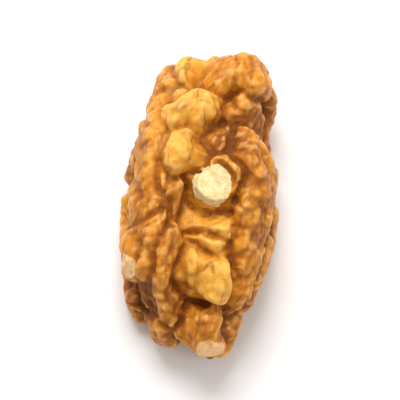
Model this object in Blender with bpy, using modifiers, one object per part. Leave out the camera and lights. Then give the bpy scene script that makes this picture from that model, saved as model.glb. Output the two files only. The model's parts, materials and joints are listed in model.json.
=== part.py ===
"""One half of a walnut kernel, shelled and dry, lying on its open side with the folded dome up.

It grew as one piece, so it is one closed solid. Two lobes meet in a bridge near the tip (-Y) and part at
the broad end (+Y), where the shell's partition stood in the slot between them. Folds cover the outside.
Metres, +Z up, the origin on the surface that it lies on, under the middle of its box.
"""

import math

import bmesh
import bpy
import numpy as np
from mathutils import Vector, noise

MM = 0.001

# Driving dimensions of the finished half.
WIDTH = 17.2 * MM
LENGTH = 34.0 * MM
HEIGHT = 13.6 * MM
MOST_TRIANGLES = 11000

# The smooth body under the folds: a long dome, as the middle and half sizes along X, Y and Z.
DOME_CENTRE = Vector((0.0, 0.0, 4.8)) * MM
DOME_RADII = Vector((8.5, 16.6, 8.8)) * MM

# What the body is joined from and what is hollowed out of its open side: ellipsoids, each as the middle
# and half sizes in millimetres.
LOBES = {
    "middle": ((0.7, 2.2, 5.4), (5.2, 15.0, 7.4)),
    "left_lobe": ((-2.8, 1.0, 4.7), (5.7, 15.4, 8.8)),
    "left_flank": ((-4.0, -5.4, 3.9), (4.2, 9.0, 6.3)),
    "right_lobe": ((4.1, -1.0, 4.5), (4.7, 14.6, 8.0)),
    "right_end": ((3.6, 11.2, 5.4), (4.2, 5.4, 6.6)),
    "tip": ((3.4, -13.0, 4.4), (3.2, 3.8, 4.6)),
    "tip_side": ((-1.2, -11.0, 4.2), (4.6, 4.6, 5.4)),
}
HOLLOWS = {
    "left_valley": ((-4.2, 1.4, -1.0), (1.5, 9.8, 3.4)),
    "left_end_hollow": ((-3.5, 7.8, -0.8), (1.5, 3.0, 4.4)),
    "left_middle_hollow": ((-4.8, 2.0, -0.8), (1.8, 4.2, 5.2)),
    "left_tip_hollow": ((-3.4, -8.2, -0.8), (0.9, 2.0, 2.8)),
    "right_valley": ((4.6, 0.2, -1.0), (1.4, 8.4, 3.2)),
    "right_end_hollow": ((4.2, 9.0, -0.6), (1.0, 2.0, 3.2)),
    "right_middle_hollow": ((5.0, 1.4, -0.8), (1.6, 3.6, 4.8)),
    "right_tip_hollow": ((4.2, -5.6, -0.8), (1.2, 2.6, 4.0)),
    "slot_mouth": ((0.4, 15.6, -1.2), (0.9, 3.8, 3.4)),
    "slot_middle": ((0.4, 10.0, -0.8), (1.0, 5.0, 4.6)),
    "slot_end": ((0.8, 4.8, -0.8), (0.9, 4.2, 3.8)),
    "bridge_dip": ((0.5, -5.8, -1.2), (0.8, 3.4, 2.6)),
}
RIM_HEIGHT = 0.1 * MM
BODY_VOXEL = 0.35 * MM
BODY_SMOOTHING = 10
# The body is uneven: the size of a swell, and how far it moves the surface.
UNEVEN_SIZE = 5.5 * MM
UNEVEN_REACH = 0.9 * MM
NOISE_SEED = 4

# The folds, as lines drawn on the dome. Each has the lobe that it belongs to, how far its top stands out,
# how much it crowds its neighbours, and its points: the angle round the long axis, in degrees from the top
# of the dome towards +X, and the place along the axis, from -1 at the tip to 1 at the broad end.
FOLDS = (
    # Over the top of the left lobe, from the broad end to the tip.
    ("left", 0.30, 0.3, ((-72, 0.80), (-66, 0.60), (-53, 0.33), (-47, 0.05), (-46, -0.16))),
    ("left", -0.40, -0.9, ((-32, 0.60), (-30, 0.30), (-27, -0.02))),
    ("left", 0.80, 0.5, ((-48, 0.86), (-12, 0.92))),
    ("left", 0.75, 0.5, ((-25, 0.48), (-16, 0.52), (-7, 0.48))),
    ("left", 0.50, 0.3, ((-16, 0.28), (-13, 0.12))),
    ("left", 0.20, 0.2, ((-11, -0.09), (-8, -0.13))),
    ("left", 0.75, 0.3, ((2, -0.17), (15, -0.20))),
    ("left", 0.70, -0.2, ((11, -0.36), (13, -0.42))),
    ("left", 1.00, 0.7, ((13, -0.52), (20, -0.60))),
    ("left", 0.45, 0.5, ((42, -0.83), (64, -0.89))),
    ("left", 0.20, 0.1, ((-56, -0.42), (-64, -0.50))),
    ("left", -0.05, 0.0, ((-38, -0.26), (-42, -0.50))),
    ("left", 0.15, 0.1, ((-18, -0.42), (-20, -0.60), (-22, -0.82))),
    ("left", -1.40, 0.0, ((-64, -0.70), (-80, -0.78))),
    # Over the top of the right lobe.
    ("right", 0.60, 0.8, ((8, 0.87), (32, 0.81), (52, 0.76))),
    ("right", -0.30, -0.5, ((30, 0.52), (52, 0.52), (70, 0.48))),
    ("right", 0.45, 0.3, ((36, 0.28), (42, 0.14), (48, -0.10), (56, -0.30), (66, -0.50), (72, -0.62))),
    ("right", 1.30, 1.1, ((12, -0.05), (14, 0.01))),
    ("right", -0.80, -0.3, ((10, 0.36), (20, 0.30))),
    # Down the left flank.
    ("left", 0.20, 0.0, ((-88, 0.80), (-98, 0.66), (-92, 0.48))),
    ("left", 0.30, 0.2, ((-84, 0.30), (-92, 0.18), (-106, 0.22), (-116, 0.44))),
    ("left", 0.15, -0.2, ((-82, 0.04), (-84, -0.08))),
    ("left", 0.30, 0.1, ((-104, 0.00), (-96, -0.18), (-88, -0.32), (-92, -0.48))),
    ("left", 0.10, -0.2, ((-112, -0.34), (-106, -0.52), (-98, -0.66))),
    # Down the right flank.
    ("right", 0.20, 0.0, ((82, 0.72), (94, 0.66), (100, 0.48))),
    ("right", 0.15, 0.0, ((72, 0.30), (80, 0.20), (96, 0.26), (112, 0.14))),
    ("right", 0.20, -0.2, ((78, 0.02), (84, -0.10))),
    ("right", 0.60, 0.1, ((104, -0.04), (98, -0.22), (86, -0.32), (84, -0.46))),
    ("right", 0.30, -0.1, ((110, -0.30), (104, -0.50), (94, -0.62))),
    ("right", 0.60, 0.1, ((80, -0.72), (98, -0.80))),
    # Round the two ends and along the rims of the open side.
    ("left", 0.10, 0.0, ((-74, 0.95), (-120, 0.90))),
    ("right", 0.10, 0.0, ((70, 0.94), (120, 0.88))),
    ("left", 0.10, 0.0, ((-90, -0.94), (-130, -0.88))),
    ("left", 0.10, 0.0, ((-132, 0.66), (-136, 0.44))),
    ("left", 0.10, 0.0, ((-136, 0.20), (-132, -0.06))),
    ("left", 0.10, 0.0, ((-136, -0.30), (-128, -0.64))),
    ("right", 0.10, 0.0, ((130, 0.66), (136, 0.30))),
    ("right", 0.10, 0.0, ((132, 0.10), (136, -0.10))),
    ("right", 0.10, 0.0, ((134, -0.36), (126, -0.72))),
)
CREASE_DEPTH = 1.9 * MM
CREASE_REACH = 1.6 * MM
CREASE_CHANGE = 7.0 * MM
GROOVE_DEPTH = 0.9 * MM
GROOVE_REACH = 0.9 * MM
# Below this height the folds fade towards a share of their depth, where the walls are thin.
THIN_HEIGHT = 3.5 * MM
THIN_SHARE = 0.45
BEND = ((4.6 * MM, 1.2 * MM), (1.9 * MM, 0.5 * MM))

# Small knobs on the folds, and a slow unevenness under them.
KNOB_SPACING = 2.7 * MM
KNOB_SHIFT = Vector((0.3, 1.9, 0.6)) * MM
KNOB_DEPTH = 0.35 * MM
KNOB_REACH = 0.75 * MM
SWELL_SIZE = 3.4 * MM
SWELL_HEIGHT = 0.35 * MM

# Flat breaks where a fold's top has come away: angle, place along the axis, how far round the point the
# break may reach, and how deep the plane lies under the highest point there.
BREAKS = (
    (13, 0.0, 2.6 * MM, 1.30 * MM),
    (-60, -0.50, 1.6 * MM, 0.35 * MM),
    (64, -0.90, 1.8 * MM, 0.45 * MM),
)
# Dents in a break that are no deeper than this are filled.
BREAK_FILL = 0.4 * MM

SOLID_VOXEL = 0.30 * MM
FLOOR_TRIM = 0.35 * MM


def clear_scene():
    for obj in list(bpy.data.objects):
        bpy.data.objects.remove(obj)


def new_collection(name):
    collection = bpy.data.collections.new(name)
    bpy.context.scene.collection.children.link(collection)
    return collection


def ellipsoid(name, centre, radii, collection):
    """A closed ellipsoid, its middle and half sizes in millimetres."""
    mesh = bpy.data.meshes.new(name)
    shape = bmesh.new()
    bmesh.ops.create_icosphere(shape, subdivisions=4, radius=1.0)
    bmesh.ops.scale(shape, vec=Vector(radii) * MM, verts=shape.verts)
    bmesh.ops.translate(shape, vec=Vector(centre) * MM, verts=shape.verts)
    shape.to_mesh(mesh)
    shape.free()
    obj = bpy.data.objects.new(name, mesh)
    collection.objects.link(obj)
    return obj


def underside(collection):
    """A block under the open side, which cuts its rims level."""
    mesh = bpy.data.meshes.new("underside")
    shape = bmesh.new()
    bmesh.ops.create_cube(shape, size=2 * LENGTH)
    bmesh.ops.translate(shape, vec=Vector((0, 0, RIM_HEIGHT - LENGTH)), verts=shape.verts)
    shape.to_mesh(mesh)
    shape.free()
    collection.objects.link(bpy.data.objects.new("underside", mesh))


def boolean(obj, operation, collection):
    modifier = obj.modifiers.new(operation.lower(), "BOOLEAN")
    modifier.operation = operation
    modifier.solver = "EXACT"
    modifier.operand_type = "COLLECTION"
    modifier.collection = collection


def remesh(obj, voxel, smoothing):
    modifier = obj.modifiers.new("even_faces", "REMESH")
    modifier.mode = "VOXEL"
    modifier.voxel_size = voxel
    modifier.use_smooth_shade = True
    if smoothing:
        modifier = obj.modifiers.new("soften", "SMOOTH")
        modifier.factor = 0.5
        modifier.iterations = smoothing


def apply_modifiers(obj):
    """Puts the evaluated mesh in the object's place."""
    bpy.context.view_layer.update()
    graph = bpy.context.evaluated_depsgraph_get()
    mesh = bpy.data.meshes.new_from_object(obj.evaluated_get(graph))
    obj.modifiers.clear()
    obj.data = mesh


def remove_collection(collection):
    for obj in list(collection.objects):
        bpy.data.objects.remove(obj)
    bpy.data.collections.remove(collection)


def smooth_body(collection):
    """Two lobes and a tip joined, hollowed from below and parted at the broad end, with soft edges."""
    lobes = new_collection("lobes")
    hollows = new_collection("hollows")
    for name, (centre, radii) in LOBES.items():
        ellipsoid(name, centre, radii, lobes)
    for name, (centre, radii) in HOLLOWS.items():
        ellipsoid(name, centre, radii, hollows)
    underside(hollows)
    body = ellipsoid("walnut_kernel", *LOBES["middle"], collection)
    boolean(body, "UNION", lobes)
    boolean(body, "DIFFERENCE", hollows)
    remesh(body, BODY_VOXEL, BODY_SMOOTHING)
    apply_modifiers(body)
    remove_collection(lobes)
    remove_collection(hollows)
    points = read_points(body.data)
    write_points(body.data, points + UNEVEN_REACH * noise_vectors(points, UNEVEN_SIZE))
    return body


def read_points(mesh):
    points = np.empty(len(mesh.vertices) * 3)
    mesh.vertices.foreach_get("co", points)
    return points.reshape(-1, 3)


def read_normals(mesh):
    normals = np.empty(len(mesh.vertices) * 3)
    mesh.vertex_normals.foreach_get("vector", normals)
    return normals.reshape(-1, 3)


def write_points(mesh, points):
    mesh.vertices.foreach_set("co", points.ravel())
    mesh.update()


def on_dome(angle, along):
    """The point of the dome at an angle in degrees round the long axis and a place along it."""
    ring = math.sqrt(1.0 - along * along)
    turn = math.radians(angle)
    offset = Vector((ring * math.sin(turn), along, ring * math.cos(turn)))
    return np.array(DOME_CENTRE + offset * DOME_RADII)


def line_distance(points, line):
    """How far each point is from a line of straight runs."""
    nearest = np.full(len(points), np.inf)
    for start, end in zip(line, line[1:]):
        run = end - start
        share = np.clip((points - start) @ run / (run @ run), 0.0, 1.0)
        gaps = np.linalg.norm(points - start - share[:, None] * run, axis=1)
        nearest = np.minimum(nearest, gaps)
    return nearest


def noise_vectors(points, size):
    return np.array([noise.noise_vector(Vector(p) / size) for p in points])


def bent(points):
    """The points moved by a slow noise, so that what is drawn through them wanders."""
    return points + sum(reach * noise_vectors(points, size) for size, reach in BEND)


def rounded(gap, reach):
    """From 0 in a crease to 1 at its reach, steep at first, as the side of a roll is."""
    share = np.clip(gap / reach, 0.0, 1.0)
    return np.sqrt(1.0 - (1.0 - share) ** 2)


def noise_values(points, size):
    return np.array([noise.noise(Vector(p) / size) for p in points])


def fold_height(points):
    """How far the folds lift or sink each point of the smooth body."""
    wandering = bent(points)
    gaps = np.array(
        [
            line_distance(wandering, [on_dome(*p) for p in line]) - crowd * MM
            for _, _, crowd, line in FOLDS
        ]
    )
    order = np.sort(gaps, axis=0)
    crease_gap = (order[1] - order[0]) / 2
    stands_out = np.array([fold[1] for fold in FOLDS])[gaps.argmin(axis=0)] * MM
    inward = np.clip(order[0] / ((order[0] + order[1]) / 2), 0.0, 1.0)
    roll = 0.8 * rounded(crease_gap, CREASE_REACH) + 0.2 * np.sqrt(1.0 - inward**2)
    left = np.array([fold[0] == "left" for fold in FOLDS])
    groove_gap = np.abs(gaps[left].min(axis=0) - gaps[~left].min(axis=0)) / 2
    groove = np.exp(-((groove_gap / GROOVE_REACH) ** 2))
    unequal = 0.85 + 0.9 * noise_values(points, CREASE_CHANGE)
    thick = THIN_SHARE + (1.0 - THIN_SHARE) * np.clip(points[:, 2] / THIN_HEIGHT, 0.0, 1.0)
    sunk = CREASE_DEPTH * unequal * (1.0 - roll) + GROOVE_DEPTH * groove
    return stands_out * roll - thick * sunk


def knob_height(points):
    gaps = []
    for point in points:
        near = noise.voronoi((Vector(point) + KNOB_SHIFT) / KNOB_SPACING)[0]
        gaps.append((near[1] - near[0]) / 2 * KNOB_SPACING)
    return -KNOB_DEPTH * (1.0 - rounded(np.array(gaps), KNOB_REACH))


def swell_height(points):
    return SWELL_HEIGHT * np.array(
        [noise.fractal(Vector(p) / SWELL_SIZE, 1.0, 2.0, 3) for p in points]
    )


def break_tops(points):
    """Flattens the tops of the broken folds, each to its own plane."""
    for angle, along, reach, depth in BREAKS:
        middle = on_dome(angle, along)
        outward = middle - np.array(DOME_CENTRE)
        outward /= np.linalg.norm(outward)
        aside = np.linalg.norm(
            (points - middle) - ((points - middle) @ outward)[:, None] * outward, axis=1
        )
        height = (points - middle) @ outward
        near = (aside < reach) & (height > -3.0 * MM)
        plane = height[near].max() - depth
        broken = near & (height > plane - BREAK_FILL)
        points[broken] -= (height[broken] - plane)[:, None] * outward


def fold_surface(body):
    points = read_points(body.data)
    normals = read_normals(body.data)
    lift = fold_height(points) + knob_height(points) + swell_height(points)
    points += lift[:, None] * normals
    break_tops(points)
    write_points(body.data, points)


def thin_out(obj, most):
    """Brings the mesh under a number of triangles."""
    obj.data.calc_loop_triangles()
    modifier = obj.modifiers.new("fewer_faces", "DECIMATE")
    modifier.ratio = most / len(obj.data.loop_triangles)
    modifier.use_collapse_triangulate = True
    apply_modifiers(obj)


def fit_box(mesh):
    """Scales the mesh to the driving dimensions and sets it on the surface, centred over the origin."""
    points = read_points(mesh)
    low, high = points.min(axis=0), points.max(axis=0)
    low[2] += FLOOR_TRIM
    points = (points - (low + high) / 2) * (np.array((WIDTH, LENGTH, HEIGHT)) / (high - low))
    points[:, 2] += HEIGHT / 2
    write_points(mesh, points)


def islands(shape):
    """The groups of joined vertices."""
    unseen = set(shape.verts)
    found = []
    while unseen:
        group = []
        edge_of_group = [unseen.pop()]
        while edge_of_group:
            vert = edge_of_group.pop()
            group.append(vert)
            near = {edge.other_vert(vert) for edge in vert.link_edges} & unseen
            unseen -= near
            edge_of_group.extend(near)
        found.append(group)
    return found


def flatten_feet(obj):
    """Cuts off what lies under the surface, which leaves flat spots on the lowest folds."""
    shape = bmesh.new()
    shape.from_mesh(obj.data)
    everything = shape.verts[:] + shape.edges[:] + shape.faces[:]
    cut = bmesh.ops.bisect_plane(
        shape, geom=everything, dist=1e-7, plane_co=(0, 0, 0), plane_no=(0, 0, 1), clear_inner=True
    )
    rim = [e for e in cut["geom_cut"] if isinstance(e, bmesh.types.BMEdge)]
    bmesh.ops.holes_fill(shape, edges=rim, sides=0)
    scraps = sorted(islands(shape), key=len)[:-1]
    bmesh.ops.delete(shape, geom=[vert for scrap in scraps for vert in scrap], context="VERTS")
    bmesh.ops.triangulate(shape, faces=shape.faces[:])
    bmesh.ops.recalc_face_normals(shape, faces=shape.faces[:])
    shape.to_mesh(obj.data)
    shape.free()


def skin_material():
    material = bpy.data.materials.new("walnut_skin")
    material.use_nodes = True
    shader = material.node_tree.nodes["Principled BSDF"]
    shader.inputs["Base Color"].default_value = (0.60, 0.33, 0.12, 1.0)
    shader.inputs["Roughness"].default_value = 0.5
    shader.inputs["Metallic"].default_value = 0.0
    return material


def main():
    clear_scene()
    noise.seed_set(NOISE_SEED)
    kernel = smooth_body(new_collection("walnut_kernel_half"))
    fold_surface(kernel)
    remesh(kernel, SOLID_VOXEL, 1)
    apply_modifiers(kernel)
    thin_out(kernel, MOST_TRIANGLES)
    fit_box(kernel.data)
    flatten_feet(kernel)
    kernel.data.shade_smooth()
    kernel.data.materials.clear()
    kernel.data.materials.append(skin_material())


main()
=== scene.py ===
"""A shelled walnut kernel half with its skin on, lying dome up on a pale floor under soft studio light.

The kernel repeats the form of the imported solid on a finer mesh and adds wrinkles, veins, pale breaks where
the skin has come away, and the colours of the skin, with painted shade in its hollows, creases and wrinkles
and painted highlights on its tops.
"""

import json
import math

import bmesh
import bpy
import numpy as np
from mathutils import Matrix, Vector, kdtree, noise

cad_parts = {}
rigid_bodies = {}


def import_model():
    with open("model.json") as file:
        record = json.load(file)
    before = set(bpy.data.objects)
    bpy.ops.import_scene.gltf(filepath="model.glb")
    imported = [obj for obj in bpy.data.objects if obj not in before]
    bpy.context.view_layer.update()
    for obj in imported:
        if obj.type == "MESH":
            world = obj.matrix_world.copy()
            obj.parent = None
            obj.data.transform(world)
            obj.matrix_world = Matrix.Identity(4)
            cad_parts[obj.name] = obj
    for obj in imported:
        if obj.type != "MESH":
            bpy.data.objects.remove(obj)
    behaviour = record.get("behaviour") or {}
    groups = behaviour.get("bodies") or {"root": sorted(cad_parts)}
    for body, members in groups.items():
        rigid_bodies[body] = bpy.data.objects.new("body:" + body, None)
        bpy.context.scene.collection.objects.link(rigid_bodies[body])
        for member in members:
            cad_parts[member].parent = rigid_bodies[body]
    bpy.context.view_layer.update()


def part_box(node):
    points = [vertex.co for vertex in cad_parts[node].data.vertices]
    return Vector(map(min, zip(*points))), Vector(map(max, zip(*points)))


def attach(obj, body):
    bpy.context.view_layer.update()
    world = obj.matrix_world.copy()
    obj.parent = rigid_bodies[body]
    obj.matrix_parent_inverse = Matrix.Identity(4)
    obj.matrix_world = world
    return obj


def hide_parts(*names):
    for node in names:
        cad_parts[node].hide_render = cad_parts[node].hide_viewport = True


MM = 0.001

# The dome that the folds are drawn on, round the long axis of the kernel.
DOME_CENTRE = Vector((0.0, 0.0, 4.8)) * MM
DOME_RADII = Vector((8.5, 16.6, 8.8)) * MM
# The smooth body under the folds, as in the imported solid: ellipsoids that are joined and ellipsoids that are
# taken out from below, each as the middle and half sizes in millimetres.
LOBES = {
    "middle": ((0.7, 2.2, 5.4), (5.2, 15.0, 7.4)),
    "left_lobe": ((-2.8, 1.0, 4.7), (5.7, 15.4, 8.8)),
    "left_flank": ((-4.0, -5.4, 3.9), (4.2, 9.0, 6.3)),
    "right_lobe": ((4.1, -1.0, 4.5), (4.7, 14.6, 8.0)),
    "right_end": ((3.6, 11.2, 5.4), (4.2, 5.4, 6.6)),
    "tip": ((3.4, -13.0, 4.4), (3.2, 3.8, 4.6)),
    "tip_side": ((-1.2, -11.0, 4.2), (4.6, 4.6, 5.4)),
}
HOLLOWS = {
    "left_valley": ((-4.2, 1.4, -1.0), (1.5, 9.8, 3.4)),
    "left_end_hollow": ((-3.5, 7.8, -0.8), (1.5, 3.0, 4.4)),
    "left_middle_hollow": ((-4.8, 2.0, -0.8), (1.8, 4.2, 5.2)),
    "left_tip_hollow": ((-3.4, -8.2, -0.8), (0.9, 2.0, 2.8)),
    "right_valley": ((4.6, 0.2, -1.0), (1.4, 8.4, 3.2)),
    "right_end_hollow": ((4.2, 9.0, -0.6), (1.0, 2.0, 3.2)),
    "right_middle_hollow": ((5.0, 1.4, -0.8), (1.6, 3.6, 4.8)),
    "right_tip_hollow": ((4.2, -5.6, -0.8), (1.2, 2.6, 4.0)),
    "slot_mouth": ((0.4, 15.6, -1.2), (0.9, 3.8, 3.4)),
    "slot_middle": ((0.4, 10.0, -0.8), (1.0, 5.0, 4.6)),
    "slot_end": ((0.8, 4.8, -0.8), (0.9, 4.2, 3.8)),
    "bridge_dip": ((0.5, -5.8, -1.2), (0.8, 3.4, 2.6)),
}
ELLIPSOID_SUBDIVISIONS = 4
# The block that cuts the body off level at the rims of its open side.
RIM_HEIGHT = 0.1 * MM
BLOCK_SIZE = 68.0 * MM
# Remeshing: the size of the faces of the body and of the folded kernel, and how often each is softened.
BODY_VOXEL = 0.35 * MM
BODY_SMOOTHING = 10
FINE_VOXEL = 0.19 * MM
FINE_SMOOTHING = 1
SMOOTHING_FACTOR = 0.5
# A slow noise that makes the body a little uneven.
UNEVEN_SIZE = 5.5 * MM
UNEVEN_REACH = 0.9 * MM
NOISE_SEED = 4

# The folds: lobe, how far the top stands out, how much it crowds its neighbours, how golden and how red its
# skin is, and the line's points as the angle round the long axis and the place along it.
FOLDS = (
    # Over the top of the left lobe, from the broad end to the tip.
    ("left", 0.30, 0.3, 0.55, 0.2, ((-72, 0.80), (-66, 0.60), (-53, 0.33), (-47, 0.05), (-46, -0.16))),
    ("left", -0.40, -0.9, 0.70, 0.6, ((-32, 0.60), (-30, 0.30), (-27, -0.02))),
    ("left", 0.80, 0.5, 0.80, 0.1, ((-48, 0.86), (-12, 0.92))),
    ("left", 0.75, 0.5, 1.00, 0.0, ((-25, 0.48), (-16, 0.52), (-7, 0.48))),
    ("left", 0.50, 0.3, 0.90, 0.0, ((-16, 0.28), (-13, 0.12))),
    ("left", 0.20, 0.2, 0.60, 0.7, ((-11, -0.09), (-8, -0.13))),
    ("left", 0.75, 0.3, 0.85, 0.1, ((2, -0.17), (15, -0.20))),
    ("left", 0.70, -0.2, 0.90, 0.1, ((11, -0.36), (13, -0.42))),
    ("left", 1.00, 0.7, 1.00, 0.0, ((13, -0.52), (20, -0.60))),
    ("left", 0.45, 0.5, 0.65, 0.6, ((42, -0.83), (64, -0.89))),
    ("left", 0.20, 0.1, 0.65, 0.6, ((-56, -0.42), (-64, -0.50))),
    ("left", -0.05, 0.0, 0.68, 0.3, ((-38, -0.26), (-42, -0.50))),
    ("left", 0.15, 0.1, 0.42, 0.2, ((-18, -0.42), (-20, -0.60), (-22, -0.82))),
    ("left", -1.40, 0.0, 0.05, 0.2, ((-64, -0.70), (-80, -0.78))),
    # Over the top of the right lobe.
    ("right", 0.60, 0.8, 0.58, 0.4, ((8, 0.87), (32, 0.81), (52, 0.76))),
    ("right", -0.30, -0.5, 0.30, 0.5, ((30, 0.52), (52, 0.52), (70, 0.48))),
    (
        "right", 0.45, 0.3, 0.44, 0.2,
        ((36, 0.28), (42, 0.14), (48, -0.10), (56, -0.30), (66, -0.50), (72, -0.62)),
    ),
    ("right", 1.30, 1.1, 0.70, 0.0, ((12, -0.05), (14, 0.01))),
    ("right", -0.80, -0.3, 0.15, 0.1, ((10, 0.36), (20, 0.30))),
    # Down the left flank.
    ("left", 0.20, 0.0, 0.60, 0.1, ((-88, 0.80), (-98, 0.66), (-92, 0.48))),
    ("left", 0.30, 0.2, 0.45, 0.3, ((-84, 0.30), (-92, 0.18), (-106, 0.22), (-116, 0.44))),
    ("left", 0.15, -0.2, 0.65, 0.0, ((-82, 0.04), (-84, -0.08))),
    ("left", 0.30, 0.1, 0.60, 0.2, ((-104, 0.00), (-96, -0.18), (-88, -0.32), (-92, -0.48))),
    ("left", 0.10, -0.2, 0.35, 0.4, ((-112, -0.34), (-106, -0.52), (-98, -0.66))),
    # Down the right flank.
    ("right", 0.20, 0.0, 0.50, 0.3, ((82, 0.72), (94, 0.66), (100, 0.48))),
    ("right", 0.15, 0.0, 0.65, 0.1, ((72, 0.30), (80, 0.20), (96, 0.26), (112, 0.14))),
    ("right", 0.20, -0.2, 0.45, 0.3, ((78, 0.02), (84, -0.10))),
    ("right", 0.60, 0.1, 0.65, 0.0, ((104, -0.04), (98, -0.22), (86, -0.32), (84, -0.46))),
    ("right", 0.30, -0.1, 0.45, 0.3, ((110, -0.30), (104, -0.50), (94, -0.62))),
    ("right", 0.60, 0.1, 0.55, 0.2, ((80, -0.72), (98, -0.80))),
    # Round the two ends and along the rims of the open side.
    ("left", 0.10, 0.0, 0.60, 0.2, ((-74, 0.95), (-120, 0.90))),
    ("right", 0.10, 0.0, 0.50, 0.3, ((70, 0.94), (120, 0.88))),
    ("left", 0.10, 0.0, 0.50, 0.3, ((-90, -0.94), (-130, -0.88))),
    ("left", 0.10, 0.0, 0.55, 0.1, ((-132, 0.66), (-136, 0.44))),
    ("left", 0.10, 0.0, 0.45, 0.3, ((-136, 0.20), (-132, -0.06))),
    ("left", 0.10, 0.0, 0.60, 0.1, ((-136, -0.30), (-128, -0.64))),
    ("right", 0.10, 0.0, 0.50, 0.2, ((130, 0.66), (136, 0.30))),
    ("right", 0.10, 0.0, 0.60, 0.1, ((132, 0.10), (136, -0.10))),
    ("right", 0.10, 0.0, 0.45, 0.3, ((134, -0.36), (126, -0.72))),
)
# The columns of that table.
LOBE, STANDS_OUT, CROWDS, GOLD, RED, LINE = range(6)
# The crease between two folds: its depth and reach, how its depth changes along the kernel, and how much of
# a fold's roundness comes from its sides and how much from its whole width.
CREASE_DEPTH = 1.9 * MM
CREASE_REACH = 1.6 * MM
CREASE_CHANGE = 7.0 * MM
MEAN_CREASE = 0.85
CREASE_SPREAD = 0.9
SIDE_ROUNDNESS = 0.8
TOP_ROUNDNESS = 0.2
# The groove between the two lobes.
GROOVE_DEPTH = 0.9 * MM
GROOVE_REACH = 0.9 * MM
# Near the rims the kernel is thin, and its creases are shallower.
THIN_HEIGHT = 3.5 * MM
THIN_SHARE = 0.45
# How the fold lines wander: the size and reach of two noises.
BEND = ((4.6 * MM, 1.2 * MM), (1.9 * MM, 0.5 * MM))
# The knobs on the folds: their spacing, a shift of their pattern, and the depth and reach of their creases.
KNOB_SPACING = 2.7 * MM
KNOB_SHIFT = Vector((0.3, 1.9, 0.6)) * MM
KNOB_DEPTH = 0.35 * MM
KNOB_REACH = 0.75 * MM
# The swells: their size and height, and of their finer waves how fast they fade, how much finer each one is
# than the last, and how many there are.
SWELL_SIZE = 3.4 * MM
SWELL_HEIGHT = 0.35 * MM
SWELL_OCTAVES = (1.0, 2.0, 3)
# Flat breaks: angle, place along the axis, reach, depth, how far round it the flesh is bare, and how much of
# the skin is gone there.
BREAKS = (
    (13, 0.0, 2.6 * MM, 1.30 * MM, 2.20 * MM, 1.0),
    (-60, -0.50, 1.6 * MM, 0.35 * MM, 1.45 * MM, 0.66),
    (64, -0.90, 1.8 * MM, 0.45 * MM, 1.65 * MM, 0.66),
)
# How deep under the dome a break looks for its fold, how far under its flat face it is filled up, and how
# far under that face its sides are still bare.
BREAK_SEARCH = 3.0 * MM
BREAK_FILL = 0.4 * MM
BARE_DEPTH = 1.2 * MM
# How far the lowest points would lie under the floor before they are flattened.
FLOOR_TRIM = 0.35 * MM

# How far the tints of two folds run into each other.
TINT_BLEND = 0.80 * MM
# Spots of colour: angle, place along the axis, size, and what they add to gold and to red. Two of them
# are painted light, as marked.
TINT_SPOTS = (
    (66, 0.80, 2.2 * MM, 0.20, 0.90),
    (24, 0.84, 1.8 * MM, -0.10, 0.00),
    # Painted highlight on the top of a fold of the left lobe.
    (-10, 0.56, 1.6 * MM, 0.25, 0.00),
    (-26, 0.80, 3.2 * MM, 0.35, 0.00),
    (-20, 0.68, 2.0 * MM, 0.40, 0.00),
    (-34, 0.52, 2.2 * MM, 0.40, 0.00),
    (-15, 0.38, 1.8 * MM, 0.50, 0.00),
    (-28, 0.24, 2.0 * MM, 0.40, 0.15),
    (-27, 0.00, 1.8 * MM, 0.35, 0.20),
    (-44, 0.34, 2.2 * MM, 0.20, 0.10),
    (-48, 0.10, 2.4 * MM, 0.05, 0.25),
    (64, -0.36, 2.2 * MM, 0.25, 0.00),
    (34, 0.76, 2.4 * MM, 0.15, 0.00),
    (42, 0.20, 2.0 * MM, 0.10, 0.05),
    # Painted light that lifts the shade of a crevice low on the left lobe.
    (-26, -0.66, 2.2 * MM, 0.25, 0.00),
    (9, -0.13, 1.4 * MM, 0.60, 0.00),
    (13, -0.56, 2.0 * MM, 0.15, 0.00),
    (10, -0.28, 1.8 * MM, 0.45, 0.00),
    (12, -0.46, 1.6 * MM, 0.35, 0.00),
    (16, -0.80, 2.2 * MM, -0.20, 0.10),
    (-84, -0.20, 3.0 * MM, 0.10, 0.20),
    (96, 0.30, 3.0 * MM, -0.15, 0.10),
    (92, -0.30, 2.6 * MM, 0.10, 0.20),
    (-100, 0.40, 2.6 * MM, -0.15, 0.00),
)
# How wide the brown line of darker skin and painted shade in the bottom of a crease is.
CREASE_LINE = 0.22 * MM
# Fine wrinkles: their size, how they are drawn out along X, Y and Z, and their depth.
WRINKLES = (
    (2.2 * MM, (1.0, 0.6, 1.0), 0.12 * MM),
    (1.5 * MM, (0.5, 1.1, 0.9), 0.10 * MM),
    (0.9 * MM, (0.9, 0.7, 1.0), 0.05 * MM),
)
WRINKLE_SHARPNESS = 3.0
# The share of that depth in the brownest and in the most golden skin, and the depth at which the painted
# shade in a wrinkle is darkest.
BROWN_SHARE = 1.5
GOLD_SHARE = 0.4
DEEP_WRINKLE = 0.25 * MM
# What is stored for the colours: how often the tints are averaged after the remesh, and for each relief how
# often the surroundings are averaged and the height that counts as 1.
TINT_SMOOTHING = 2
# The reliefs place painted shade in the hollows and painted light on the tops.
RELIEFS = {
    "broad_relief": (140, 0.6 * MM),
    "fine_relief": (12, 0.10 * MM),
}

# The noises of the skin: scale, detail, roughness and distortion.
PATCH_NOISE = (230.0, 4.0, 0.55, 0.6)
BLUSH_NOISE = (330.0, 2.0)
CREASE_NOISE = (420.0, 2.0)
VEIN_NOISE = (520.0, 2.0)
HIGHLIGHT_NOISE = (700.0, 3.0)
FLECK_NOISE = (1500.0, 3.0, 0.6)
GRAIN_NOISE = (1800.0, 4.0, 0.65)
CRINKLE_NOISE = (900.0, 4.0, 0.60, 0.8)
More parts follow.
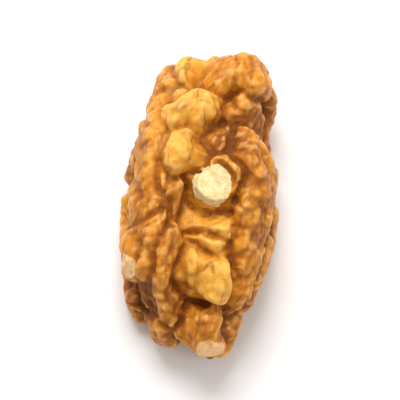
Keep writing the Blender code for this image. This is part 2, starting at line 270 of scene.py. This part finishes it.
# The level of the skin, from 0 for the brownest to 1 for the most golden, is a sum. Each of its shares is a
# factor and an offset. The two relief shares are painted shade in the hollows and painted light on the tops.
SHADE_AND_LIGHT_BY_BROAD_RELIEF = (0.22, 0.27)
LEVEL_BY_PATCHES = (0.60, -0.30)
LEVEL_BY_GOLD = (0.50, 0.0)
SHADE_AND_LIGHT_BY_FINE_RELIEF = (0.10, 0.0)
SKIN_COLOURS = (
    (0.04, (0.090, 0.019, 0.002)),
    (0.26, (0.255, 0.066, 0.005)),
    (0.48, (0.470, 0.152, 0.012)),
    (0.70, (0.720, 0.290, 0.024)),
    (0.95, (0.890, 0.460, 0.072)),
)
# A reddish blush, in spots of a noise, stronger where the skin is red.
BLUSH_SPOTS = ((0.40, 0.25), (0.66, 1.0))
BLUSH_BY_RED = (0.85, 0.08)
BLUSH_COLOUR = (0.94, 0.66, 0.60)
# Dark lines in the bottoms of the creases, partly darker skin and partly painted shade, broken by a noise
# and fainter in golden skin.
CREASE_SPOTS = ((0.34, 0.20), (0.56, 0.80))
CREASE_BY_GOLD = (-1.00, 1.30)
CREASE_SKIN_AND_SHADE_COLOUR = (0.090, 0.020, 0.002)
# Veins: the scale and reach of the noise that bends them, how they are drawn out, the scale of their net,
# how wide they are, where they break off, and how strong they are in colour and in relief.
VEIN_BEND_SCALE = 420.0
VEIN_BEND_REACH = (0.0024, 0.0024, 0.0024)
VEIN_STRETCH = (1.0, 0.45, 1.0)
VEIN_NET_SCALE = 430.0
VEIN_WIDTH = ((0.0, 1.0), (0.09, 0.0))
VEIN_SPOTS = ((0.42, 0.0), (0.58, 1.0))
VEIN_STRENGTH = 0.60
VEIN_RELIEF = 0.5
VEIN_COLOUR = (0.24, 0.065, 0.010)
# Painted shade: brown lines in the wrinkles, darker where they are deeper.
WRINKLE_SHADE_RAMP = ((0.25, 0.0), (0.85, 0.65))
WRINKLE_SHADE_COLOUR = (0.23, 0.062, 0.005)
# Painted highlights on the tops between the wrinkles, in spots of a noise, and small flecks.
RELIEF_TO_SHARE = (0.5, 0.5)
HIGHLIGHT_ON_TOPS = ((0.58, 0.0), (0.90, 0.60))
HIGHLIGHT_SPOTS = ((0.42, 0.2), (0.60, 1.0))
HIGHLIGHT_COLOUR = (0.86, 0.50, 0.17)
FLECKS = ((0.40, 0.80), (0.62, 1.0))
# Bare flesh: its grainy colours, its pinker colour and how far red skin brings that out, how ragged its edge
# is, the thin brown edge of torn skin, and where the flesh shows.
FLESH_COLOURS = ((0.30, (0.62, 0.44, 0.17)), (0.60, (0.84, 0.70, 0.38)))
PINK_BY_RED = (1.5, -0.15)
PINK_COLOUR = (0.78, 0.42, 0.18)
RAGGEDNESS = (0.5, -0.25)
TORN_EDGE = ((0.30, 0.0), (0.46, 0.55), (0.58, 0.0))
TORN_COLOUR = (0.26, 0.085, 0.016)
FLESH_SHOWN = ((0.50, 0.0), (0.64, 1.0))
# The surface: golden skin is glossier and smoother, brown skin duller and finely crinkled.
ROUGHNESS_BY_LEVEL = ((0.15, 0.68), (0.75, 0.36))
CRINKLE_BY_LEVEL = ((0.35, 1.6), (0.80, 0.5))
GRAIN_RELIEF = (0.35, 0.0)
BUMP_STRENGTH = 0.7
BUMP_DISTANCE = 0.15 * MM
GLOSS = 0.28
GLOSS_TINT = (1.0, 0.80, 0.55, 1.0)
GLOW_WEIGHT = 0.30
GLOW_RADIUS = (1.0, 0.45, 0.12)
GLOW_SCALE = 0.9 * MM

# The stage and the light, in metres and watts. Each lamp has a place, a size and a power.
FLOOR_SIZE = 3.0
FLOOR_COLOUR = (0.90, 0.89, 0.88, 1.0)
FLOOR_ROUGHNESS = 0.7
WORLD_COLOUR = (1.0, 0.99, 0.98, 1.0)
WORLD_STRENGTH = 0.60
LAMPS = {
    "key": ((-0.06, 0.20, 0.28), 0.26, 1.3),
    "fill": ((0.22, -0.10, 0.20), 0.20, 0.15),
}
# The view: the angle off the long axis and above the floor in degrees, and how far off and how wide it is in
# metres. The camera and the lamps point at the target.
TARGET = Vector((0.0, 0.0, 0.006))
VIEW_AZIMUTH = 7.0
VIEW_ELEVATION = 72.0
VIEW_DISTANCE = 0.30
VIEW_WIDTH = 0.0425
SENSOR_WIDTH = 36.0
NEAREST_SEEN = 0.01


def new_collection(name):
    collection = bpy.data.collections.new(name)
    bpy.context.scene.collection.children.link(collection)
    return collection


def object_from(shape, name, collection):
    mesh = bpy.data.meshes.new(name)
    shape.to_mesh(mesh)
    shape.free()
    obj = bpy.data.objects.new(name, mesh)
    collection.objects.link(obj)
    return obj


def ellipsoid(name, centre, radii, collection):
    shape = bmesh.new()
    bmesh.ops.create_icosphere(shape, subdivisions=ELLIPSOID_SUBDIVISIONS, radius=1.0)
    bmesh.ops.scale(shape, vec=Vector(radii) * MM, verts=shape.verts)
    bmesh.ops.translate(shape, vec=Vector(centre) * MM, verts=shape.verts)
    return object_from(shape, name, collection)


def underside(collection):
    shape = bmesh.new()
    bmesh.ops.create_cube(shape, size=BLOCK_SIZE)
    bmesh.ops.translate(shape, vec=Vector((0, 0, RIM_HEIGHT - BLOCK_SIZE / 2)), verts=shape.verts)
    object_from(shape, "underside", collection)


def boolean(obj, operation, collection):
    modifier = obj.modifiers.new(operation.lower(), "BOOLEAN")
    modifier.operation = operation
    modifier.solver = "EXACT"
    modifier.operand_type = "COLLECTION"
    modifier.collection = collection


def remesh(obj, voxel, smoothing):
    modifier = obj.modifiers.new("even_faces", "REMESH")
    modifier.mode = "VOXEL"
    modifier.voxel_size = voxel
    modifier.use_smooth_shade = True
    modifier = obj.modifiers.new("soften", "SMOOTH")
    modifier.factor = SMOOTHING_FACTOR
    modifier.iterations = smoothing
    apply_modifiers(obj)


def apply_modifiers(obj):
    bpy.context.view_layer.update()
    graph = bpy.context.evaluated_depsgraph_get()
    mesh = bpy.data.meshes.new_from_object(obj.evaluated_get(graph))
    obj.modifiers.clear()
    obj.data = mesh


def remove_collection(collection):
    for obj in list(collection.objects):
        bpy.data.objects.remove(obj)
    bpy.data.collections.remove(collection)


def read_points(mesh):
    points = np.empty(len(mesh.vertices) * 3)
    mesh.vertices.foreach_get("co", points)
    return points.reshape(-1, 3)


def read_normals(mesh):
    normals = np.empty(len(mesh.vertices) * 3)
    mesh.vertex_normals.foreach_get("vector", normals)
    return normals.reshape(-1, 3)


def write_points(mesh, points):
    mesh.vertices.foreach_set("co", points.ravel())
    mesh.update()


def noise_vectors(points, size):
    return np.array([noise.noise_vector(Vector(p) / size) for p in points])


def noise_values(points, size):
    return np.array([noise.noise(Vector(p) / size) for p in points])


def smooth_body(collection):
    """Two lobes and a tip joined, hollowed from below and parted at the broad end, with soft edges."""
    lobes = new_collection("lobes")
    hollows = new_collection("hollows")
    for name, (centre, radii) in LOBES.items():
        ellipsoid(name, centre, radii, lobes)
    for name, (centre, radii) in HOLLOWS.items():
        ellipsoid(name, centre, radii, hollows)
    underside(hollows)
    body = ellipsoid("walnut_kernel_skin", *LOBES["middle"], collection)
    boolean(body, "UNION", lobes)
    boolean(body, "DIFFERENCE", hollows)
    remesh(body, BODY_VOXEL, BODY_SMOOTHING)
    remove_collection(lobes)
    remove_collection(hollows)
    points = read_points(body.data)
    write_points(body.data, points + UNEVEN_REACH * noise_vectors(points, UNEVEN_SIZE))
    return body


def on_dome(angle, along):
    """The point of the dome at an angle in degrees round the long axis and a place along it."""
    ring = math.sqrt(1.0 - along * along)
    turn = math.radians(angle)
    offset = Vector((ring * math.sin(turn), along, ring * math.cos(turn)))
    return np.array(DOME_CENTRE + offset * DOME_RADII)


def line_distance(points, line):
    """How far each point is from a line of straight runs."""
    nearest = np.full(len(points), np.inf)
    for start, end in zip(line, line[1:]):
        run = end - start
        share = np.clip((points - start) @ run / (run @ run), 0.0, 1.0)
        gaps = np.linalg.norm(points - start - share[:, None] * run, axis=1)
        nearest = np.minimum(nearest, gaps)
    return nearest


def bent(points):
    """The points moved by a slow noise, so that what is drawn through them wanders."""
    return points + sum(reach * noise_vectors(points, size) for size, reach in BEND)


def rounded(gap, reach):
    """From 0 in a crease to 1 at its reach, steep at first, as the side of a roll is."""
    share = np.clip(gap / reach, 0.0, 1.0)
    return np.sqrt(1.0 - (1.0 - share) ** 2)


def fold_gaps(points):
    """How far each point of the smooth body is from each fold's line, less what that fold crowds."""
    wandering = bent(points)
    gaps = []
    for fold in FOLDS:
        line = [on_dome(angle, along) for angle, along in fold[LINE]]
        gaps.append(line_distance(wandering, line) - fold[CROWDS] * MM)
    return np.array(gaps)


def fold_tints(points, gaps):
    """How golden, how red and how near to a crease the skin is at each point."""
    weights = np.exp((gaps.min(axis=0) - gaps) / TINT_BLEND)
    weights /= weights.sum(axis=0)
    gold = np.array([fold[GOLD] for fold in FOLDS]) @ weights
    red = np.array([fold[RED] for fold in FOLDS]) @ weights
    for angle, along, size, more_gold, more_red in TINT_SPOTS:
        spot = np.exp(-(np.linalg.norm(points - on_dome(angle, along), axis=1) / size) ** 2)
        gold += more_gold * spot
        red += more_red * spot
    # Nearness to a crease, for the line of darker skin and painted shade there.
    nearest, second = np.sort(gaps, axis=0)[:2]
    crease = np.exp(-(((second - nearest) / 2 / CREASE_LINE) ** 2))
    return np.clip(gold, 0.0, 1.0), np.clip(red, 0.0, 1.0), crease


def fold_height(points, gaps):
    """How far the folds lift or sink each point of the smooth body."""
    nearest, second = np.sort(gaps, axis=0)[:2]
    stands_out = np.array([fold[STANDS_OUT] for fold in FOLDS])[gaps.argmin(axis=0)] * MM
    inward = np.clip(nearest / ((nearest + second) / 2), 0.0, 1.0)
    sides = rounded((second - nearest) / 2, CREASE_REACH)
    roll = SIDE_ROUNDNESS * sides + TOP_ROUNDNESS * np.sqrt(1.0 - inward**2)
    left = np.array([fold[LOBE] == "left" for fold in FOLDS])
    groove_gap = np.abs(gaps[left].min(axis=0) - gaps[~left].min(axis=0)) / 2
    groove = np.exp(-((groove_gap / GROOVE_REACH) ** 2))
    unequal = MEAN_CREASE + CREASE_SPREAD * noise_values(points, CREASE_CHANGE)
    thick = THIN_SHARE + (1.0 - THIN_SHARE) * np.clip(points[:, 2] / THIN_HEIGHT, 0.0, 1.0)
    sunk = CREASE_DEPTH * unequal * (1.0 - roll) + GROOVE_DEPTH * groove
    return stands_out * roll - thick * sunk


def knob_height(points):
    """Shallow creases that part each fold into knobs."""
    gaps = []
    for point in points:
        near = noise.voronoi((Vector(point) + KNOB_SHIFT) / KNOB_SPACING)[0]
        gaps.append((near[1] - near[0]) / 2 * KNOB_SPACING)
    return -KNOB_DEPTH * (1.0 - rounded(np.array(gaps), KNOB_REACH))


def swell_height(points):
    """Irregular swells of the whole surface."""
    swells = [noise.fractal(Vector(p) / SWELL_SIZE, *SWELL_OCTAVES) for p in points]
    return SWELL_HEIGHT * np.array(swells)


def break_tops(points):
    """Flattens the tops of the broken folds, each to its own plane, and says how bare each point is."""
    bare = np.zeros(len(points))
    for angle, along, reach, depth, bare_reach, gone in BREAKS:
        middle = on_dome(angle, along)
        outward = middle - np.array(DOME_CENTRE)
        outward /= np.linalg.norm(outward)
        height = (points - middle) @ outward
        aside = np.linalg.norm((points - middle) - height[:, None] * outward, axis=1)
        near = (aside < reach) & (height > -BREAK_SEARCH)
        plane = height[near].max() - depth
        broken = near & (height > plane - BREAK_FILL)
        points[broken] -= (height[broken] - plane)[:, None] * outward
        bare[(aside < bare_reach) & (height > plane - BARE_DEPTH)] = gone
    return bare


def fold_surface(body):
    """Folds the smooth body, and gives its points with the gold, red, crease and bareness of each one."""
    points = read_points(body.data)
    normals = read_normals(body.data)
    gaps = fold_gaps(points)
    lift = fold_height(points, gaps) + knob_height(points) + swell_height(points)
    tints = fold_tints(points, gaps)
    points += lift[:, None] * normals
    bare = break_tops(points)
    write_points(body.data, points)
    return points, np.column_stack((*tints, bare))


def carry_over(old_points, values, new_points):
    """The values of the nearest old points."""
    tree = kdtree.KDTree(len(old_points))
    for index, point in enumerate(old_points):
        tree.insert(point, index)
    tree.balance()
    nearest = [tree.find(point)[1] for point in new_points]
    return values[nearest]


def fit_box(points, low_corner, high_corner):
    """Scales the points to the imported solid's box and flattens what would lie under the floor."""
    low, high = points.min(axis=0), points.max(axis=0)
    low[2] += FLOOR_TRIM
    target_low, target_high = np.array(low_corner), np.array(high_corner)
    points = target_low + (points - low) * ((target_high - target_low) / (high - low))
    return above_floor(points)


def above_floor(points):
    points[:, 2] = np.maximum(points[:, 2], 0.0)
    return points


def neighbour_means(mesh, values, times):
    """Values averaged with those of the joined vertices, over and over."""
    pairs = np.empty(len(mesh.edges) * 2, dtype=np.int64)
    mesh.edges.foreach_get("vertices", pairs)
    first, second = pairs.reshape(-1, 2).T
    count = np.bincount(pairs, minlength=len(values))
    for _ in range(times):
        totals = np.zeros_like(values)
        np.add.at(totals, first, values[second])
        np.add.at(totals, second, values[first])
        values = (values + totals / count[:, None]) / 2
    return values


def relief(mesh, times, reach):
    """How far each vertex stands above the mean of its surroundings, from -1 in a crease to 1 on a top."""
    points = read_points(mesh)
    normals = read_normals(mesh)
    means = neighbour_means(mesh, points.copy(), times)
    above = ((points - means) * normals).sum(axis=1)
    return np.clip(above / reach, -1.0, 1.0)


def store(mesh, name, values):
    stored = mesh.attributes.new(name, "FLOAT", "POINT")
    stored.data.foreach_set("value", values.astype(np.float32))


def wrinkle(mesh, gold, bare):
    """Fine wrinkles, deeper where the skin is brown and left out where it is gone. Gives their depth."""
    points = read_points(mesh)
    normals = read_normals(mesh)
    sunk = np.zeros(len(points))
    for size, stretch, depth in WRINKLES:
        wave = noise_values(points * np.array(stretch), size)
        sunk += depth * (1.0 - np.clip(np.abs(wave) * WRINKLE_SHARPNESS, 0.0, 1.0))
    sunk *= (1.0 - bare) * (BROWN_SHARE + (GOLD_SHARE - BROWN_SHARE) * gold)
    write_points(mesh, points - sunk[:, None] * normals)
    return np.clip(sunk / DEEP_WRINKLE, 0.0, 1.0)


def build_kernel():
    """The folded and wrinkled kernel, with what its material needs stored on its vertices."""
    collection = new_collection("kernel")
    noise.seed_set(NOISE_SEED)
    kernel = smooth_body(collection)
    remesh(kernel, FINE_VOXEL, FINE_SMOOTHING)
    folded, looks = fold_surface(kernel)
    remesh(kernel, FINE_VOXEL, FINE_SMOOTHING)
    mesh = kernel.data
    points = read_points(mesh)
    looks = neighbour_means(mesh, carry_over(folded, looks, points), TINT_SMOOTHING)
    gold, red, crease, bare = looks.T
    write_points(mesh, fit_box(points, *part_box("walnut_kernel")))
    wrinkles = wrinkle(mesh, gold, bare)
    write_points(mesh, above_floor(read_points(mesh)))
    for name, (times, reach) in RELIEFS.items():
        store(mesh, name, relief(mesh, times, reach))
    tints = {"wrinkles": wrinkles, "gold": gold, "red": red, "crease": crease, "bare": bare}
    for name, values in tints.items():
        store(mesh, name, values)
    mesh.shade_smooth()
    return kernel


def node(tree, kind, **values):
    made = tree.nodes.new(kind)
    for name, value in values.items():
        setattr(made, name, value)
    return made


def attribute(tree, name):
    return node(tree, "ShaderNodeAttribute", attribute_name=name).outputs["Fac"]


def noise_field(tree, coordinates, scale, detail, roughness=0.5, distortion=0.0):
    made = node(tree, "ShaderNodeTexNoise")
    made.inputs["Scale"].default_value = scale
    made.inputs["Detail"].default_value = detail
    made.inputs["Roughness"].default_value = roughness
    made.inputs["Distortion"].default_value = distortion
    tree.links.new(coordinates, made.inputs["Vector"])
    return made.outputs["Fac"]


def ramp(tree, value, stops):
    """A colour or a grey for each value, between stops that are a place with a colour or a grey."""
    made = node(tree, "ShaderNodeValToRGB")
    elements = made.color_ramp.elements
    while len(elements) < len(stops):
        elements.new(0.5)
    for element, (place, colour) in zip(elements, stops):
        element.position = place
        element.color = (*colour, 1.0) if isinstance(colour, tuple) else (colour,) * 3 + (1.0,)
    tree.links.new(value, made.inputs["Fac"])
    return made.outputs["Color"]


def math_node(tree, operation, first, second, clamp=False):
    made = node(tree, "ShaderNodeMath", operation=operation, use_clamp=clamp)
    for socket, value in zip(made.inputs, (first, second)):
        if isinstance(value, (int, float)):
            socket.default_value = value
        else:
            tree.links.new(value, socket)
    return made.outputs["Value"]


def scaled(tree, value, factor, offset):
    made = node(tree, "ShaderNodeMath", operation="MULTIPLY_ADD")
    tree.links.new(value, made.inputs[0])
    made.inputs[1].default_value = factor
    made.inputs[2].default_value = offset
    return made.outputs["Value"]


def mix_colour(tree, share, first, second, blend="MIX"):
    made = node(tree, "ShaderNodeMix", data_type="RGBA", blend_type=blend)
    for name, value in (("Factor_Float", share), ("A_Color", first), ("B_Color", second)):
        socket = next(s for s in made.inputs if s.identifier == name)
        if isinstance(value, (int, float)):
            socket.default_value = value
        elif isinstance(value, tuple):
            socket.default_value = (*value, 1.0)
        else:
            tree.links.new(value, socket)
    return next(s for s in made.outputs if s.identifier == "Result_Color")


def skin_level(tree, place):
    """From 0 in the brownest skin to 1 in the most golden, with slow patches of each, and with painted shade
    in the hollows and painted light on the tops.
    """
    # The broad relief paints shade into the hollows and light onto the tops.
    level = scaled(tree, attribute(tree, "broad_relief"), *SHADE_AND_LIGHT_BY_BROAD_RELIEF)
    patches = scaled(tree, noise_field(tree, place, *PATCH_NOISE), *LEVEL_BY_PATCHES)
    level = math_node(tree, "ADD", level, patches)
    level = math_node(tree, "ADD", level, scaled(tree, attribute(tree, "gold"), *LEVEL_BY_GOLD))
    # The fine relief paints a little more shade into the small hollows and light onto the small tops.
    fine = scaled(tree, attribute(tree, "fine_relief"), *SHADE_AND_LIGHT_BY_FINE_RELIEF)
    return math_node(tree, "ADD", level, fine, clamp=True)


def plain_skin(tree, place, level):
    """The skin's own colour, with its blush."""
    skin = ramp(tree, level, SKIN_COLOURS)
    blush = ramp(tree, noise_field(tree, place, *BLUSH_NOISE), BLUSH_SPOTS)
    blush = math_node(tree, "MULTIPLY", blush, scaled(tree, attribute(tree, "red"), *BLUSH_BY_RED))
    return mix_colour(tree, blush, skin, BLUSH_COLOUR, "MULTIPLY")


def add_crease_skin_and_shade(tree, place, skin):
    # Darker skin and painted shade along the bottoms of the creases.
    shown = ramp(tree, noise_field(tree, place, *CREASE_NOISE), CREASE_SPOTS)
    shown = math_node(tree, "MULTIPLY", shown, scaled(tree, attribute(tree, "gold"), *CREASE_BY_GOLD))
    crease = math_node(tree, "MULTIPLY", attribute(tree, "crease"), shown)
    return mix_colour(tree, crease, skin, CREASE_SKIN_AND_SHADE_COLOUR)


def vein_net(tree, place):
    """A net of thin lines, bent, drawn out along the kernel and broken up."""
    bend = node(tree, "ShaderNodeTexNoise")
    bend.inputs["Scale"].default_value = VEIN_BEND_SCALE
    tree.links.new(place, bend.inputs["Vector"])
    moved = node(tree, "ShaderNodeVectorMath", operation="MULTIPLY_ADD")
    moved.inputs[1].default_value = VEIN_BEND_REACH
    tree.links.new(bend.outputs["Color"], moved.inputs[0])
    tree.links.new(place, moved.inputs[2])
    drawn = node(tree, "ShaderNodeMapping")
    drawn.inputs["Scale"].default_value = VEIN_STRETCH
    tree.links.new(moved.outputs["Vector"], drawn.inputs["Vector"])
    net = node(tree, "ShaderNodeTexVoronoi", feature="DISTANCE_TO_EDGE")
    net.inputs["Scale"].default_value = VEIN_NET_SCALE
    tree.links.new(drawn.outputs["Vector"], net.inputs["Vector"])
    vein = ramp(tree, net.outputs["Distance"], VEIN_WIDTH)
    broken = ramp(tree, noise_field(tree, place, *VEIN_NOISE), VEIN_SPOTS)
    return math_node(tree, "MULTIPLY", vein, broken)


def add_veins(tree, vein, skin):
    return mix_colour(tree, math_node(tree, "MULTIPLY", vein, VEIN_STRENGTH), skin, VEIN_COLOUR)


def add_wrinkle_shade(tree, skin):
    # Painted shade in the wrinkles, darker where they are deeper.
    lines = ramp(tree, attribute(tree, "wrinkles"), WRINKLE_SHADE_RAMP)
    return mix_colour(tree, lines, skin, WRINKLE_SHADE_COLOUR)


def add_painted_highlights(tree, place, skin):
    """Painted highlights on the tops between the wrinkles, and flecks all over."""
    tops = ramp(tree, scaled(tree, attribute(tree, "fine_relief"), *RELIEF_TO_SHARE), HIGHLIGHT_ON_TOPS)
    spots = ramp(tree, noise_field(tree, place, *HIGHLIGHT_NOISE), HIGHLIGHT_SPOTS)
    skin = mix_colour(tree, math_node(tree, "MULTIPLY", tops, spots), skin, HIGHLIGHT_COLOUR)
    flecks = ramp(tree, noise_field(tree, place, *FLECK_NOISE), FLECKS)
    return mix_colour(tree, 1.0, skin, flecks, "MULTIPLY")


def add_bare_flesh(tree, grain, skin):
    """Flesh in the breaks, pinker where some skin is left, with a thin brown edge of torn skin."""
    flesh = ramp(tree, grain, FLESH_COLOURS)
    flesh = mix_colour(tree, scaled(tree, attribute(tree, "red"), *PINK_BY_RED), flesh, PINK_COLOUR)
    edge = math_node(tree, "ADD", attribute(tree, "bare"), scaled(tree, grain, *RAGGEDNESS))
    skin = mix_colour(tree, ramp(tree, edge, TORN_EDGE), skin, TORN_COLOUR)
    return mix_colour(tree, ramp(tree, edge, FLESH_SHOWN), skin, flesh)


def skin_bump(tree, place, level, grain, vein):
    """The normal of crinkled brown skin, grain and raised veins."""
    crinkle = noise_field(tree, place, *CRINKLE_NOISE)
    crinkle = math_node(tree, "MULTIPLY", crinkle, ramp(tree, level, CRINKLE_BY_LEVEL))
    height = math_node(tree, "ADD", crinkle, scaled(tree, grain, *GRAIN_RELIEF))
    height = math_node(tree, "ADD", height, math_node(tree, "MULTIPLY", vein, VEIN_RELIEF))
    bump = node(tree, "ShaderNodeBump")
    bump.inputs["Strength"].default_value = BUMP_STRENGTH
    bump.inputs["Distance"].default_value = BUMP_DISTANCE
    tree.links.new(height, bump.inputs["Height"])
    return bump.outputs["Normal"]


def skin_material():
    material = bpy.data.materials.new("walnut_skin_veined")
    material.use_nodes = True
    tree = material.node_tree
    shader = tree.nodes["Principled BSDF"]
    place = node(tree, "ShaderNodeTexCoord").outputs["Object"]
    level = skin_level(tree, place)
    vein = vein_net(tree, place)
    grain = noise_field(tree, place, *GRAIN_NOISE)
    # Besides the skin's own colours, shade is painted into hollows, creases and wrinkles and highlights onto
    # tops.
    skin = plain_skin(tree, place, level)
    skin = add_crease_skin_and_shade(tree, place, skin)
    skin = add_veins(tree, vein, skin)
    skin = add_wrinkle_shade(tree, skin)
    skin = add_painted_highlights(tree, place, skin)
    skin = add_bare_flesh(tree, grain, skin)
    tree.links.new(skin, shader.inputs["Base Color"])
    tree.links.new(ramp(tree, level, ROUGHNESS_BY_LEVEL), shader.inputs["Roughness"])
    tree.links.new(skin_bump(tree, place, level, grain, vein), shader.inputs["Normal"])
    shader.inputs["Specular IOR Level"].default_value = GLOSS
    shader.inputs["Specular Tint"].default_value = GLOSS_TINT
    shader.inputs["Subsurface Weight"].default_value = GLOW_WEIGHT
    shader.inputs["Subsurface Radius"].default_value = GLOW_RADIUS
    shader.inputs["Subsurface Scale"].default_value = GLOW_SCALE
    return material


def build_stage():
    bpy.ops.mesh.primitive_plane_add(size=FLOOR_SIZE, location=(0, 0, 0))
    floor = bpy.context.active_object
    floor.name = "floor"
    material = bpy.data.materials.new("pale_floor")
    material.use_nodes = True
    shader = material.node_tree.nodes["Principled BSDF"]
    shader.inputs["Base Color"].default_value = FLOOR_COLOUR
    shader.inputs["Roughness"].default_value = FLOOR_ROUGHNESS
    floor.data.materials.append(material)


def build_light():
    world = bpy.data.worlds.new("studio")
    world.use_nodes = True
    background = world.node_tree.nodes["Background"]
    background.inputs["Color"].default_value = WORLD_COLOUR
    background.inputs["Strength"].default_value = WORLD_STRENGTH
    bpy.context.scene.world = world
    for name, (place, size, power) in LAMPS.items():
        add_lamp(name, place, size, power)


def add_lamp(name, place, size, power):
    lamp = bpy.data.lights.new(name, "AREA")
    lamp.shape = "DISK"
    lamp.size = size
    lamp.energy = power
    obj = bpy.data.objects.new(name, lamp)
    obj.location = place
    obj.rotation_euler = (TARGET - obj.location).to_track_quat("-Z", "Y").to_euler()
    bpy.context.scene.collection.objects.link(obj)


def build_camera():
    azimuth, elevation = math.radians(VIEW_AZIMUTH), math.radians(VIEW_ELEVATION)
    away = Vector(
        (
            math.sin(azimuth) * math.cos(elevation),
            -math.cos(azimuth) * math.cos(elevation),
            math.sin(elevation),
        )
    )
    data = bpy.data.cameras.new("camera")
    data.sensor_width = SENSOR_WIDTH
    data.lens = data.sensor_width * VIEW_DISTANCE / VIEW_WIDTH
    data.clip_start = NEAREST_SEEN
    camera = bpy.data.objects.new("camera", data)
    camera.location = TARGET + away * VIEW_DISTANCE
    camera.rotation_euler = (-away).to_track_quat("-Z", "Y").to_euler()
    bpy.context.scene.collection.objects.link(camera)
    bpy.context.scene.camera = camera


def main():
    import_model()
    kernel = build_kernel()
    kernel.data.materials.append(skin_material())
    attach(kernel, "root")
    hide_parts("walnut_kernel")
    build_stage()
    build_light()
    build_camera()
    bpy.context.scene.view_settings.view_transform = "Standard"


main()
